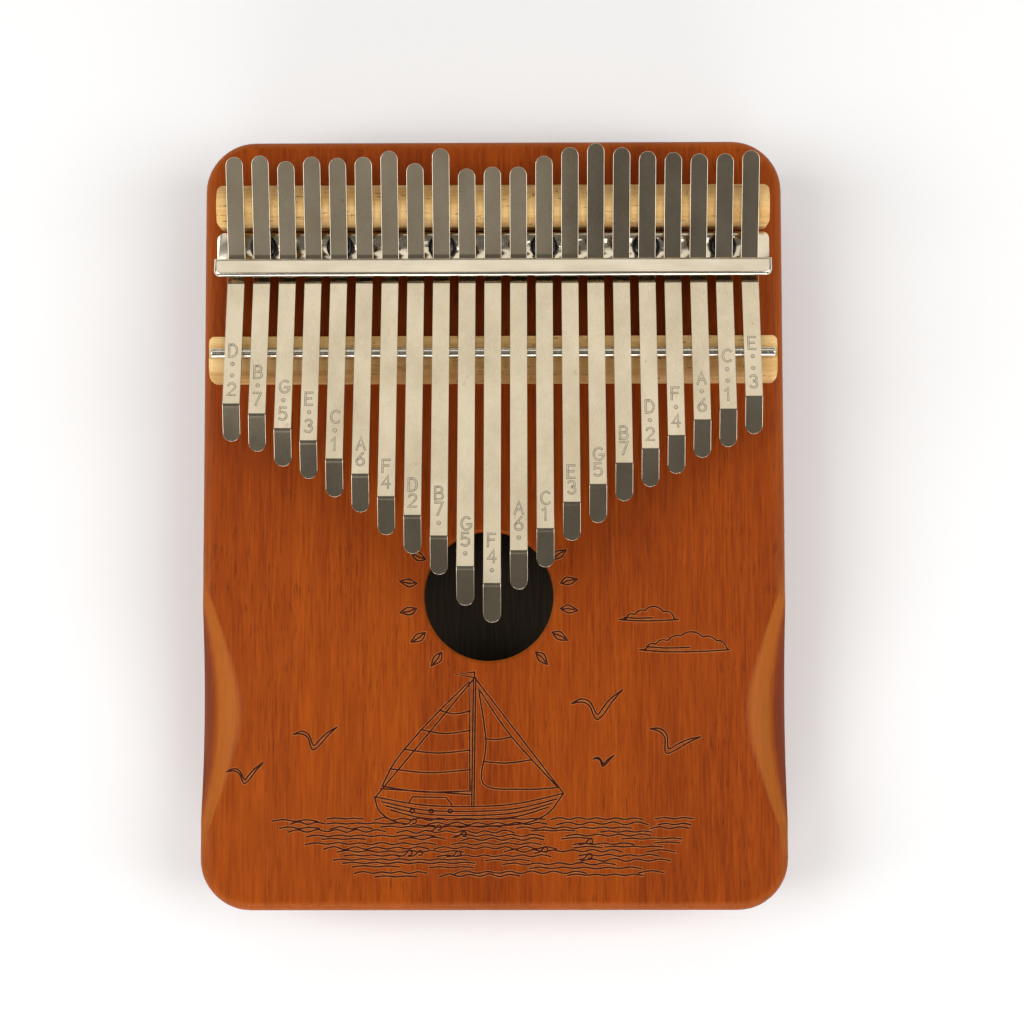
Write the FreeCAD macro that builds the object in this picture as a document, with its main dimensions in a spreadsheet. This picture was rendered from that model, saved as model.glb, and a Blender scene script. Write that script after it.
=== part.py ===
import FreeCAD, Part
import Sketcher
import math
import os

# A 21-key mbira (kalimba): spring-steel tines over a hollow wooden sound box.
# Millimetres. X runs across the tines, +Y towards their tails, +Z up out of the face.
# The origin is the middle of the flat back that the box rests on.

LONGEST_TINE_REACH = 65.8
TINE_END_EFFECT = 5.6
TINE_COUNT = 21
MIDDLE_TINE = 11
# How far each tine's tail stands beyond the common tail line, set by hand when tuning.
TAIL_STEPS = [
    0.0, 0.3, -1.0, 0.0, -0.3, -0.1, 1.3, -1.6, 1.8, -2.9, -2.5,
    -2.5, 0.0, 2.0, 2.9, 1.9, 1.0, 0.7, 0.4, 0.4, 1.1,
]
MAJOR_STEPS_FROM_F = [0, 2, 4, 6, 7, 9, 11]

SIZES = {
    # the box
    "body_width": 143.5,
    "body_length": 190.0,
    "body_height": 33.0,
    "corner_radius": 12.5,
    "edge_round": 3.2,
    "back_height": 4.0,
    "back_round": 2.0,
    "top_plate": 5.0,
    "side_wall": 12.0,
    "cavity_head": 50.0,
    "cavity_foot": -84.0,
    "cavity_corner": 8.0,
    "hole_x": -1.2,
    "hole_y": -18.5,
    "hole_radius": 15.9,
    "hole_round": 0.8,
    # the hand scoops along both sides
    "scoop_y": -47.0,
    "scoop_inset": 10.7,
    "scoop_drop": 7.0,
    "scoop_round": 14.2,
    "scoop_sweep": 140.0,
    "scoop_turn": 44.0,
    # the rear rest
    "rest_y": 77.4,
    "rest_depth": 10.5,
    "rest_length": 135.8,
    "rest_height": 6.4,
    "rest_side": 4.1,
    "strip_end_round": 1.5,
    # the front bridge and its steel rod
    "bridge_front": 33.8,
    "bridge_back": 44.7,
    "bridge_length": 139.0,
    "bridge_height": 6.6,
    "bridge_round": 4.0,
    "rod_y": 40.6,
    "rod_height": 6.85,
    "rod_radius": 1.35,
    "rod_length": 137.6,
    "rod_round": 0.5,
    "rod_fit": 0.02,
    # the bent clamp bar and its six screws
    "sheet_gauge": 1.5,
    "clamp_length": 136.4,
    "clamp_wall_back": 63.9,
    "clamp_lip_front": 59.3,
    "clamp_foot_back": 71.4,
    "clamp_top": 7.2,
    "clamp_lip_lift": 1.0,
    "clamp_bend": 0.9,
    "clamp_corner": 1.8,
    "window_width": 4.7,
    "window_low": 2.8,
    "window_high": 4.8,
    "screw_y": 67.7,
    "screw_head_radius": 3.3,
    "screw_head_height": 1.8,
    "screw_head_round": 1.0,
    "screw_radius": 1.5,
    "screw_length": 16.0,
    "screw_clearance": 0.15,
    "slot_width": 0.9,
    "slot_length": 3.6,
    "slot_depth": 1.0,
    # the tines
    "tine_pitch": 6.3,
    "tine_width": 4.2,
    "tine_gauge": 1.0,
    "tine_gap": 0.05,
    "tine_rise": 12.5,
    "tine_tail_rise": 14.0,
    "tine_tip_drop": 12.0,
    "tine_clamp_bend": 12.0,
    "tine_tip_bend": 1.8,
    "tine_valley_y": 63.1,
    "tine_tip_length": 9.0,
    "tine_end_flat": 0.1,
    "tail_line": 88.4,
    # how far a cutting shape runs on past what it cuts
    "overrun": 1.0,
}

SCREW_TINES = [2, 5, 9, 13, 17, 20]

# Lengths nearer than this are the same, and a cut must take away more than this volume.
SAME = 1e-4
LEAST_CUT = 0.01


def tine_reach(number):
    """The distance from the rod to a tine's tip: a bar's pitch goes with one over its length squared."""
    side = 2 * abs(number - MIDDLE_TINE)
    step = side - 1 if number < MIDDLE_TINE else side
    step = max(step, 0)
    semitones = MAJOR_STEPS_FROM_F[step % 7] + 12 * (step // 7)
    shortening = 2 ** (semitones / 24)
    return (LONGEST_TINE_REACH + TINE_END_EFFECT) / shortening - TINE_END_EFFECT


def tine_name(number):
    return f"tine_{number:02d}"


def write_sheet(doc):
    """Every driving size, one to a row, under the name that the expressions use."""
    sheet = doc.addObject("Spreadsheet::Sheet", "dims")
    cells = dict(SIZES)
    for number in range(1, TINE_COUNT + 1):
        cells[f"reach_of_{number}"] = round(tine_reach(number), 2)
        cells[f"tail_of_{number}"] = SIZES["tail_line"] + TAIL_STEPS[number - 1]
    for row, (alias, size) in enumerate(cells.items(), start=1):
        sheet.set(f"A{row}", alias)
        sheet.set(f"B{row}", str(round(size, 3)))
        sheet.setAlias(f"B{row}", alias)
    doc.recompute()
    return cells


def new_body(doc, label):
    body = doc.addObject("PartDesign::Body", label)
    body.Label = label
    return body


def new_sketch(body, name, role, offset=None):
    """A sketch on one of the body's own origin planes, moved out along it by an expression."""
    sketch = body.newObject("Sketcher::SketchObject", name)
    plane = next(p for p in body.Origin.OriginFeatures if p.Role == role)
    sketch.AttachmentSupport = [(plane, "")]
    sketch.MapMode = "FlatFace"
    if offset:
        sketch.setExpression(".AttachmentOffset.Base.z", offset)
    return sketch


def measure(sketch, kind, places, size, expression):
    """Adds one dimension and binds it to the sheet."""
    index = sketch.addConstraint(Sketcher.Constraint(kind, *places, size))
    sketch.setExpression(f"Constraints[{index}]", expression)


def chain(sketch, corners):
    """Straight lines through corners whose places are bound to the sheet; gives its points and ends."""
    first = sketch.GeometryCount
    points = [FreeCAD.Vector(x, y, 0) for (x, _), (y, _) in corners]
    for start, end in zip(points, points[1:]):
        sketch.addGeometry(Part.LineSegment(start, end), False)
    last = sketch.GeometryCount - 1
    for n in range(first, last):
        sketch.addConstraint(Sketcher.Constraint("Coincident", n, 2, n + 1, 1))
    vertices = [(n, 1) for n in range(first, last + 1)] + [(last, 2)]
    for vertex, ((x, x_rule), (y, y_rule)) in zip(vertices, corners):
        measure(sketch, "DistanceX", (-1, 1, *vertex), x, x_rule)
        measure(sketch, "DistanceY", (-1, 1, *vertex), y, y_rule)
    return points, vertices[0], vertices[-1]


def polygon(sketch, corners):
    """A closed outline of straight lines through bound corners."""
    points, start, end = chain(sketch, corners)
    closing = sketch.addGeometry(Part.LineSegment(points[-1], points[0]), False)
    sketch.addConstraint(Sketcher.Constraint("Coincident", *end, closing, 1))
    sketch.addConstraint(Sketcher.Constraint("Coincident", closing, 2, *start))


def arc_closed(sketch, corners, radius, outward):
    """An anticlockwise chain closed by an arc of a bound radius, which bulges out of it or into it."""
    points, start, end = chain(sketch, corners)
    here, there = points[-1], points[0]
    along = there - here
    square = FreeCAD.Vector(along.y, -along.x, 0).normalize()
    rise = radius[0] - math.sqrt(radius[0] ** 2 - (along.Length / 2) ** 2)
    crown = (here + there) * 0.5 + square * (rise if outward else -rise)
    arc = sketch.addGeometry(Part.Arc(here, crown, there), False)
    # a sketch keeps every arc anticlockwise, so one that bulges inwards starts at the far end
    near, far = (1, 2) if outward else (2, 1)
    sketch.addConstraint(Sketcher.Constraint("Coincident", *end, arc, near))
    sketch.addConstraint(Sketcher.Constraint("Coincident", arc, far, *start))
    measure(sketch, "Radius", (arc,), *radius)


def rectangle(sketch, left, right, low, high):
    """A rectangle whose four sides are (size, expression) pairs."""
    polygon(sketch, [(left, low), (right, low), (right, high), (left, high)])


def circle(sketch, x, y, radius):
    """A circle whose centre and radius are (size, expression) pairs."""
    centre = FreeCAD.Vector(x[0], y[0], 0)
    index = sketch.addGeometry(Part.Circle(centre, FreeCAD.Vector(0, 0, 1), radius[0]), False)
    measure(sketch, "DistanceX", (-1, 1, index, 3), x[0], x[1])
    measure(sketch, "DistanceY", (-1, 1, index, 3), y[0], y[1])
    measure(sketch, "Radius", (index,), radius[0], radius[1])


def pad(body, sketch, name, length, midplane=False):
    feature = body.newObject("PartDesign::Pad", name)
    feature.Profile = sketch
    feature.setExpression("Length", length)
    feature.Midplane = midplane
    return feature


def must_cut(doc, body, before, name):
    """Stops the build if a feature takes nothing away."""
    doc.recompute()
    if not body.Shape.Volume < before - LEAST_CUT:
        raise RuntimeError(f"{name} cuts nothing")


def pocket(doc, body, sketch, name, length=None, backwards=False, midplane=False):
    """A pocket of a bound depth, or through everything, that must take something away."""
    doc.recompute()
    before = body.Shape.Volume
    feature = body.newObject("PartDesign::Pocket", name)
    feature.Profile = sketch
    feature.Reversed = backwards
    feature.Midplane = midplane
    if length:
        feature.setExpression("Length", length)
    else:
        feature.Type = "ThroughAll"
    must_cut(doc, body, before, name)
    return feature


def edges_where(feature, test):
    """The names of the edges of a feature that pass a test."""
    edges = feature.Shape.Edges
    return [f"Edge{n}" for n, edge in enumerate(edges, start=1) if test(edge)]


def fillet(doc, body, base, name, radius, test):
    """A fillet of a bound radius on the edges that pass a test."""
    doc.recompute()
    feature = body.newObject("PartDesign::Fillet", name)
    feature.Base = (base, edges_where(base, test))
    feature.setExpression("Radius", radius)
    doc.recompute()
    if "Invalid" in feature.State:
        raise RuntimeError(f"{name} failed")
    return feature


def runs_along(edge, axis):
    """True for a straight edge parallel to an axis (0, 1 or 2)."""
    if edge.Curve.TypeId != "Part::GeomLine":
        return False
    return abs(abs(edge.Curve.Direction[axis]) - 1) < SAME


def lies_at(edge, axis, place):
    """True for an edge that lies wholly at one place along an axis."""
    box = edge.BoundBox
    low = (box.XMin, box.YMin, box.ZMin)[axis]
    high = (box.XMax, box.YMax, box.ZMax)[axis]
    return abs(low - place) < SAME and abs(high - place) < SAME


def at_either(edge, axis, place):
    """True for an edge that lies wholly at a place along an axis, or at the same place the other way."""
    return lies_at(edge, axis, place) or lies_at(edge, axis, -place)


def half(d, name):
    return (d[name] / 2, f"dims.{name} / 2")


def minus_half(d, name):
    return (-d[name] / 2, f"-dims.{name} / 2")


def size(d, name):
    return (d[name], f"dims.{name}")


def above_face(d, name):
    return (d["body_height"] + d[name], f"dims.body_height + dims.{name}")


def box_blank(doc, body, d, offset, height):
    """The outline that the box and its back share, with rounded corners."""
    sketch = new_sketch(body, "Outline", "XY_Plane", offset)
    across = (minus_half(d, "body_width"), half(d, "body_width"))
    along = (minus_half(d, "body_length"), half(d, "body_length"))
    rectangle(sketch, *across, *along)
    blank = pad(body, sketch, "Blank", height)
    return fillet(doc, body, blank, "Corners", "dims.corner_radius", lambda e: runs_along(e, 2))


def make_back_plate(doc, d):
    body = new_body(doc, "back_plate")
    blank = box_blank(doc, body, d, None, "dims.back_height")
    fillet(doc, body, blank, "BackRound", "dims.back_round", lambda e: lies_at(e, 2, 0))


def carve_scoops(doc, body, d):
    """The hand scoops: a rounded profile swept round an axis that stands off the box's top edge."""
    doc.recompute()
    whole = body.Shape.Volume
    # the sketch's plane is XZ, whose normal is -Y
    sketch = new_sketch(body, "ScoopProfile", "XZ_Plane", "-dims.scoop_y")
    wide, wide_rule = half(d, "body_width")
    inner = (wide - d["scoop_inset"], f"{wide_rule} - dims.scoop_inset")
    outer = (wide, wide_rule)
    outside = (wide + d["overrun"], f"{wide_rule} + dims.overrun")
    low = (d["body_height"] - d["scoop_drop"], "dims.body_height - dims.scoop_drop")
    top = size(d, "body_height")
    over = above_face(d, "overrun")
    corners = [(outer, low), (outside, low), (outside, over), (inner, over), (inner, top)]
    arc_closed(sketch, corners, size(d, "scoop_round"), outward=False)

    chord = math.hypot(d["scoop_inset"], d["scoop_drop"])
    chord_rule = "sqrt(dims.scoop_inset ^ 2 + dims.scoop_drop ^ 2)"
    x = wide - d["scoop_inset"] / 2 + d["scoop_sweep"] * d["scoop_drop"] / chord
    x_rule = f"{wide_rule} - dims.scoop_inset / 2 + dims.scoop_sweep * dims.scoop_drop / {chord_rule}"
    z = d["body_height"] - d["scoop_drop"] / 2 + d["scoop_sweep"] * d["scoop_inset"] / chord
    z_rule = f"dims.body_height - dims.scoop_drop / 2 + dims.scoop_sweep * dims.scoop_inset / {chord_rule}"
    far_x = (x + d["scoop_inset"], f"{x_rule} + dims.scoop_inset")
    far_z = (z - d["scoop_drop"], f"{z_rule} - dims.scoop_drop")
    chain(sketch, [((x, x_rule), (z, z_rule)), (far_x, far_z)])
    sketch.toggleConstruction(sketch.GeometryCount - 1)
    doc.recompute()
    groove = body.newObject("PartDesign::Groove", "RightScoop")
    groove.Profile = sketch
    groove.ReferenceAxis = (sketch, ["Axis0"])
    groove.setExpression("Angle", "dims.scoop_turn")
    groove.Midplane = True
    must_cut(doc, body, whole, "RightScoop")

    one_cut = body.Shape.Volume
    mirror = body.newObject("PartDesign::Mirrored", "LeftScoop")
    mirror.Originals = [groove]
    mirror.MirrorPlane = (next(p for p in body.Origin.OriginFeatures if p.Role == "YZ_Plane"), [""])
    body.Tip = mirror
    must_cut(doc, body, one_cut, "LeftScoop")


def make_body_shell(doc, d):
    body = new_body(doc, "body_shell")
    height = "dims.body_height - dims.back_height"
    blank = box_blank(doc, body, d, "dims.back_height", height)
    top = d["body_height"]
    fillet(doc, body, blank, "TopRound", "dims.edge_round", lambda e: lies_at(e, 2, top))

    cavity = new_sketch(body, "CavityOutline", "XY_Plane", "dims.back_height")
    wide = d["body_width"] / 2 - d["side_wall"]
    wide_rule = "dims.body_width / 2 - dims.side_wall"
    across = ((-wide, f"-({wide_rule})"), (wide, wide_rule))
    rectangle(cavity, *across, size(d, "cavity_foot"), size(d, "cavity_head"))
    depth = "dims.body_height - dims.back_height - dims.top_plate"
    hollow = pocket(doc, body, cavity, "Cavity", depth, backwards=True)

    def cavity_corner(edge):
        return runs_along(edge, 2) and abs(edge.BoundBox.Center.x) < wide + SAME

    hollow = fillet(doc, body, hollow, "CavityCorners", "dims.cavity_corner", cavity_corner)

    ring = new_sketch(body, "SoundHoleRing", "XY_Plane", "dims.body_height")
    circle(ring, size(d, "hole_x"), size(d, "hole_y"), size(d, "hole_radius"))
    hole = pocket(doc, body, ring, "SoundHole", "dims.top_plate + dims.overrun")

    def hole_rim(edge):
        round_edge = edge.Curve.TypeId == "Part::GeomCircle"
        return round_edge and lies_at(edge, 2, top) and abs(edge.Curve.Radius - d["hole_radius"]) < SAME

    fillet(doc, body, hole, "SoundHoleRim", "dims.hole_round", hole_rim)

    pilots = new_sketch(body, "ScrewPilots", "XY_Plane", "dims.body_height")
    for tine in SCREW_TINES:
        circle(pilots, *screw_place(d, tine), pilot_radius(d))
    pocket(doc, body, pilots, "PilotHoles", "dims.screw_length - dims.sheet_gauge + dims.overrun")

    carve_scoops(doc, body, d)


def screw_place(d, tine):
    """Where a screw stands, under the tine that it's counted from."""
    steps = tine - MIDDLE_TINE
    return (steps * d["tine_pitch"], f"{steps} * dims.tine_pitch"), size(d, "screw_y")


def pilot_radius(d):
    return (d["screw_radius"] + d["screw_clearance"], "dims.screw_radius + dims.screw_clearance")


def make_rear_rest(doc, d):
    """A maple strip with a domed top that the tails lie on."""
    body = new_body(doc, "rear_rest")
    sketch = new_sketch(body, "Section", "YZ_Plane")
    front = (d["rest_y"] - d["rest_depth"] / 2, "dims.rest_y - dims.rest_depth / 2")
    back = (d["rest_y"] + d["rest_depth"] / 2, "dims.rest_y + dims.rest_depth / 2")
    face = size(d, "body_height")
    shoulder = above_face(d, "rest_side")
    dome = d["rest_height"] - d["rest_side"]
    dome_rule = "(dims.rest_height - dims.rest_side)"
    radius = (dome**2 + (d["rest_depth"] / 2) ** 2) / (2 * dome)
    radius_rule = f"({dome_rule} ^ 2 + (dims.rest_depth / 2) ^ 2) / (2 * {dome_rule})"
    corners = [(front, shoulder), (front, face), (back, face), (back, shoulder)]
    arc_closed(sketch, corners, (radius, radius_rule), outward=True)
    strip = pad(body, sketch, "Strip", "dims.rest_length", midplane=True)
    fillet(doc, body, strip, "Ends", "dims.strip_end_round", lambda e: runs_along(e, 2))


def make_front_bridge(doc, d):
    """A maple strip with a rounded front edge and a groove that the rod lies in."""
    body = new_body(doc, "front_bridge")
    sketch = new_sketch(body, "Section", "YZ_Plane")
    along = (size(d, "bridge_front"), size(d, "bridge_back"))
    rectangle(sketch, *along, size(d, "body_height"), above_face(d, "bridge_height"))
    strip = pad(body, sketch, "Strip", "dims.bridge_length", midplane=True)
    top = d["body_height"] + d["bridge_height"]

    def front_edge(edge):
        return runs_along(edge, 0) and lies_at(edge, 1, d["bridge_front"]) and lies_at(edge, 2, top)

    strip = fillet(doc, body, strip, "FrontRound", "dims.bridge_round", front_edge)
    fillet(doc, body, strip, "Ends", "dims.strip_end_round", lambda e: runs_along(e, 2))
    groove = new_sketch(body, "GrooveSection", "YZ_Plane")
    radius = d["rod_radius"] + d["rod_fit"]
    rule = "dims.rod_radius + dims.rod_fit"
    circle(groove, size(d, "rod_y"), above_face(d, "rod_height"), (radius, rule))
    pocket(doc, body, groove, "RodGroove", "dims.bridge_length + 2 * dims.overrun", midplane=True)


def make_bridge_rod(doc, d):
    body = new_body(doc, "bridge_rod")
    sketch = new_sketch(body, "Section", "YZ_Plane")
    circle(sketch, size(d, "rod_y"), above_face(d, "rod_height"), size(d, "rod_radius"))
    rod = pad(body, sketch, "Rod", "dims.rod_length", midplane=True)
    doc.recompute()
    end = d["rod_length"] / 2
    fillet(doc, body, rod, "RodEnds", "dims.rod_round", lambda e: at_either(e, 0, end))


def make_clamp_bar(doc, d):
    """A steel strip bent to a Z: a foot under the tails, a wall with a window to each tine, a raised lip."""
    body = new_body(doc, "clamp_bar")
    sketch = new_sketch(body, "Section", "YZ_Plane")
    gauge = d["sheet_gauge"]
    face = size(d, "body_height")
    foot_top = above_face(d, "sheet_gauge")
    top = above_face(d, "clamp_top")
    foot_back = size(d, "clamp_foot_back")
    wall_back = size(d, "clamp_wall_back")
    wall_front = (wall_back[0] - gauge, "dims.clamp_wall_back - dims.sheet_gauge")
    lip_front = size(d, "clamp_lip_front")
    lip_top = (top[0] + d["clamp_lip_lift"], f"{top[1]} + dims.clamp_lip_lift")
    lip_under = (lip_top[0] - gauge, f"{lip_top[1]} - dims.sheet_gauge")
    slope = d["clamp_lip_lift"] / (wall_back[0] - lip_front[0])
    slope_rule = "dims.clamp_lip_lift / (dims.clamp_wall_back - dims.clamp_lip_front)"
    inner_top = (top[0] - gauge * (1 - slope), f"{top[1]} - dims.sheet_gauge * (1 - {slope_rule})")
    corners = [
        (wall_front, face),
        (foot_back, face),
        (foot_back, foot_top),
        (wall_back, foot_top),
        (wall_back, top),
        (lip_front, lip_top),
        (lip_front, lip_under),
        (wall_front, inner_top),
    ]
    polygon(sketch, corners)
    strip = pad(body, sketch, "Strip", "dims.clamp_length", midplane=True)
    end = d["clamp_length"] / 2

    def corner(edge):
        at_rim = lies_at(edge, 1, lip_front[0]) or lies_at(edge, 1, foot_back[0])
        return runs_along(edge, 2) and at_either(edge, 0, end) and at_rim

    strip = fillet(doc, body, strip, "Corners", "dims.clamp_corner", corner)

    def bend(edge):
        outer = lies_at(edge, 1, wall_back[0]) and lies_at(edge, 2, top[0])
        lower = lies_at(edge, 1, wall_front[0]) and lies_at(edge, 2, face[0])
        lip = lies_at(edge, 1, lip_front[0]) and lies_at(edge, 2, lip_top[0])
        return outer or lower or lip

    fillet(doc, body, strip, "Bends", "dims.clamp_bend", bend)

    window = new_sketch(body, "WindowOutline", "XZ_Plane", "-dims.clamp_wall_back - dims.overrun")
    first = 1 - MIDDLE_TINE
    middle = first * d["tine_pitch"]
    middle_rule = f"{first} * dims.tine_pitch"
    left = (middle - d["window_width"] / 2, f"{middle_rule} - dims.window_width / 2")
    right = (middle + d["window_width"] / 2, f"{middle_rule} + dims.window_width / 2")
    rectangle(window, left, right, above_face(d, "window_low"), above_face(d, "window_high"))
    cut = pocket(doc, body, window, "Window", "dims.sheet_gauge + 2 * dims.overrun", backwards=True)
    row = body.newObject("PartDesign::LinearPattern", "Windows")
    row.Originals = [cut]
    row.Direction = (window, ["H_Axis"])
    row.setExpression("Length", f"{TINE_COUNT - 1} * dims.tine_pitch")
    row.Occurrences = TINE_COUNT
    body.Tip = row
    doc.recompute()

    holes = new_sketch(body, "ScrewHoles", "XY_Plane", "dims.body_height + dims.sheet_gauge")
    for tine in SCREW_TINES:
        circle(holes, *screw_place(d, tine), pilot_radius(d))
    pocket(doc, body, holes, "ScrewHolesCut", "dims.sheet_gauge")


def make_clamp_screws(doc, d):
    """Six slotted round-head screws through the clamp bar's foot into the solid head of the box."""
    screws = []
    for count, tine in enumerate(SCREW_TINES, start=1):
        x_rule = f"{tine - MIDDLE_TINE} * dims.tine_pitch"
        foot_rule = "dims.body_height + dims.sheet_gauge"
        head = doc.addObject("Part::Cylinder", f"Head{count}")
        head.setExpression("Radius", "dims.screw_head_radius")
        head.setExpression("Height", "dims.screw_head_height")
        head.setExpression(".Placement.Base.x", x_rule)
        head.setExpression(".Placement.Base.y", "dims.screw_y")
        head.setExpression(".Placement.Base.z", foot_rule)
        doc.recompute()
        dome = doc.addObject("Part::Fillet", f"Dome{count}")
        dome.Base = head
        rim = d["body_height"] + d["sheet_gauge"] + d["screw_head_height"]
        radius = d["screw_head_round"]
        top_edges = [int(name[4:]) for name in edges_where(head, lambda e: lies_at(e, 2, rim))]
        dome.Edges = [(number, radius, radius) for number in top_edges]
        shank = doc.addObject("Part::Cylinder", f"Shank{count}")
        shank.setExpression("Radius", "dims.screw_radius")
        shank.setExpression("Height", "dims.screw_length")
        shank.setExpression(".Placement.Base.x", x_rule)
        shank.setExpression(".Placement.Base.y", "dims.screw_y")
        shank.setExpression(".Placement.Base.z", f"{foot_rule} - dims.screw_length")
        whole = doc.addObject("Part::Fuse", f"Screw{count}")
        whole.Base = dome
        whole.Tool = shank
        slot = doc.addObject("Part::Box", f"Slot{count}")
        slot.setExpression("Length", "dims.slot_width")
        slot.setExpression("Width", "dims.slot_length")
        slot.setExpression("Height", "dims.slot_depth + dims.overrun")
        slot.setExpression(".Placement.Base.x", f"{x_rule} - dims.slot_width / 2")
        slot.setExpression(".Placement.Base.y", "dims.screw_y - dims.slot_length / 2")
        slot.setExpression(".Placement.Base.z", f"{foot_rule} + dims.screw_head_height - dims.slot_depth")
        cut = doc.addObject("Part::Cut", f"SlottedScrew{count}")
        cut.Base = whole
        cut.Tool = slot
        screws.append(cut)
    group = doc.addObject("Part::Compound", "clamp_screws")
    group.Label = "clamp_screws"
    group.Links = screws


def tine_outline(d, number):
    """A tine's side view: tail, bend under the clamp, playing length over the rod, and dropped tip."""
    rise = math.radians(d["tine_rise"])
    tail = math.radians(d["tine_tail_rise"])
    drop = math.radians(d["tine_tip_drop"])
    half_gauge = d["tine_gauge"] / 2

    def at(y, z):
        return FreeCAD.Vector(y, z, 0)

    def up(angle):
        """The direction square to a line that rises towards -Y at an angle."""
        return at(math.sin(angle), math.cos(angle))

    lift = d["rod_radius"] + d["tine_gap"] + half_gauge
    over_rod = at(d["rod_y"], d["body_height"] + d["rod_height"]) + up(rise) * lift
    valley = d["tine_valley_y"]
    bend = d["tine_clamp_bend"]
    valley_height = over_rod.y - (valley - over_rod.x) * math.tan(rise)
    centre = at(valley, valley_height + bend / math.cos(rise))
    tip_y = d["rod_y"] - d[f"reach_of_{number}"]
    tip_bend = d["tine_tip_bend"]
    bend_y = tip_y + d["tine_tip_length"]
    bend_start = at(bend_y, over_rod.y + (over_rod.x - bend_y) * math.tan(rise))
    tip_centre = bend_start - up(rise) * tip_bend

    def side(shift):
        """One face's points and the middles of its two bends, shifted square to the centre line."""
        tail_start = centre - up(-tail) * (bend - shift)
        valley_bottom = centre - up(0) * (bend - shift)
        play_start = centre - up(rise) * (bend - shift)
        play_end = tip_centre + up(rise) * (tip_bend + shift)
        crown = tip_centre + up((rise - drop) / 2) * (tip_bend + shift)
        tip_start = tip_centre + up(-drop) * (tip_bend + shift)
        tail_y = d[f"tail_of_{number}"] - shift * math.sin(tail)
        tail_end = at(tail_y, tail_start.y + (tail_y - tail_start.x) * math.tan(tail))
        end_y = tip_y - shift * math.sin(drop)
        tip_end = at(end_y, tip_start.y - (tip_start.x - end_y) * math.tan(drop))
        line, arc = Part.LineSegment, Part.Arc
        edges = [line(tail_end, tail_start), arc(tail_start, valley_bottom, play_start)]
        edges += [line(play_start, play_end), arc(play_end, crown, tip_start), line(tip_start, tip_end)]
        return tail_end, tip_end, edges

    upper_tail, upper_tip, upper = side(half_gauge)
    lower_tail, lower_tip, lower = side(-half_gauge)
    return upper + lower + [Part.LineSegment(upper_tail, lower_tail), Part.LineSegment(upper_tip, lower_tip)]


def make_tine(doc, d, number):
    """One spring-steel tine, round at both ends, at its own place in the row."""
    body = new_body(doc, tine_name(number))
    sketch = new_sketch(body, "SideView", "YZ_Plane")
    sketch.addGeometry(tine_outline(d, number), False)
    strip = pad(body, sketch, "Strip", "dims.tine_width", midplane=True)
    doc.recompute()

    def end_corner(edge):
        return at_either(edge, 0, d["tine_width"] / 2) and abs(edge.Length - d["tine_gauge"]) < SAME

    fillet(doc, body, strip, "RoundEnds", "(dims.tine_width - dims.tine_end_flat) / 2", end_corner)
    body.setExpression(".Placement.Base.x", f"{number - MIDDLE_TINE} * dims.tine_pitch")


def check_and_write(doc, labels):
    """Every object must be sound, and every sub-part a valid shape, before anything is written."""
    doc.recompute()
    for item in doc.Objects:
        if "Invalid" in item.State or "Error" in item.State:
            raise RuntimeError(f"{item.Name} failed: {item.State}")
    parts = [item for item in doc.Objects if item.Label in labels]
    for item in parts:
        if item.Shape.isNull() or not item.Shape.isValid():
            raise RuntimeError(f"{item.Label} has no valid shape")
    os.makedirs("parts", exist_ok=True)
    for item in parts:
        item.Shape.exportStep(f"parts/{item.Label}.step")
        print(item.Label, len(item.Shape.Solids), round(item.Shape.Volume, 1))


def main():
    doc = FreeCAD.newDocument("mbira")
    d = write_sheet(doc)
    makers = {
        "back_plate": make_back_plate,
        "body_shell": make_body_shell,
        "rear_rest": make_rear_rest,
        "front_bridge": make_front_bridge,
        "bridge_rod": make_bridge_rod,
        "clamp_bar": make_clamp_bar,
        "clamp_screws": make_clamp_screws,
    }
    for make in makers.values():
        make(doc, d)
    for number in range(1, TINE_COUNT + 1):
        make_tine(doc, d, number)
    labels = set(makers) | {tine_name(number) for number in range(1, TINE_COUNT + 1)}
    check_and_write(doc, labels)


main()
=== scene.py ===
import bmesh
import bpy
import math
import random
from mathutils import Matrix, Vector
from mathutils.bvhtree import BVHTree

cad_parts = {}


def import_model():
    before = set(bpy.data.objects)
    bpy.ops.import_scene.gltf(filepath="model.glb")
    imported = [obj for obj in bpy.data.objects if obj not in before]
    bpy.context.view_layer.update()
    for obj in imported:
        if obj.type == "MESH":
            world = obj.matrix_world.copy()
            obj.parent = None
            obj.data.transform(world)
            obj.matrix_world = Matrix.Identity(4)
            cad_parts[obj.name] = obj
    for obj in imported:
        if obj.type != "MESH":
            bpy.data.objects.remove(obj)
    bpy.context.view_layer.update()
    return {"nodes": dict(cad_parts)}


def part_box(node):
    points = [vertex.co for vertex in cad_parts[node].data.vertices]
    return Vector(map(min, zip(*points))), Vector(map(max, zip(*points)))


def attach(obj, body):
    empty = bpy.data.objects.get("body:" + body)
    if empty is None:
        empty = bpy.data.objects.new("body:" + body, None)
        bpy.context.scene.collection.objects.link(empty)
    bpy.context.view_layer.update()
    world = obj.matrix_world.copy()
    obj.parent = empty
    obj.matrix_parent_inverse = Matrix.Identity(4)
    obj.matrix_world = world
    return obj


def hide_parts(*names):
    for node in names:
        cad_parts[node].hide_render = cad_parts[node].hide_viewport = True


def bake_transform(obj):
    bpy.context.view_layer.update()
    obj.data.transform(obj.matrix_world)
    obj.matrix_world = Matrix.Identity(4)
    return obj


# A 21-key mbira (kalimba) of hardwood and steel. Metres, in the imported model's frame:
# X across the tines, +Y towards their tails, +Z up out of the face.

MM = 0.001
ROOT = "sound_box"
TINE_COUNT = 21
MIDDLE_TINE = 11

# The sound box: heights of its back's inner side and of its face, the middle of its two scoops,
# and the sound hole as (x, y, radius).
INNER_FACE = 4.0 * MM
FACE = 33.0 * MM
SCOOP_Y = -47.0 * MM
SOUND_HOLE = (-1.2 * MM, -18.5 * MM, 15.9 * MM)

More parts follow.
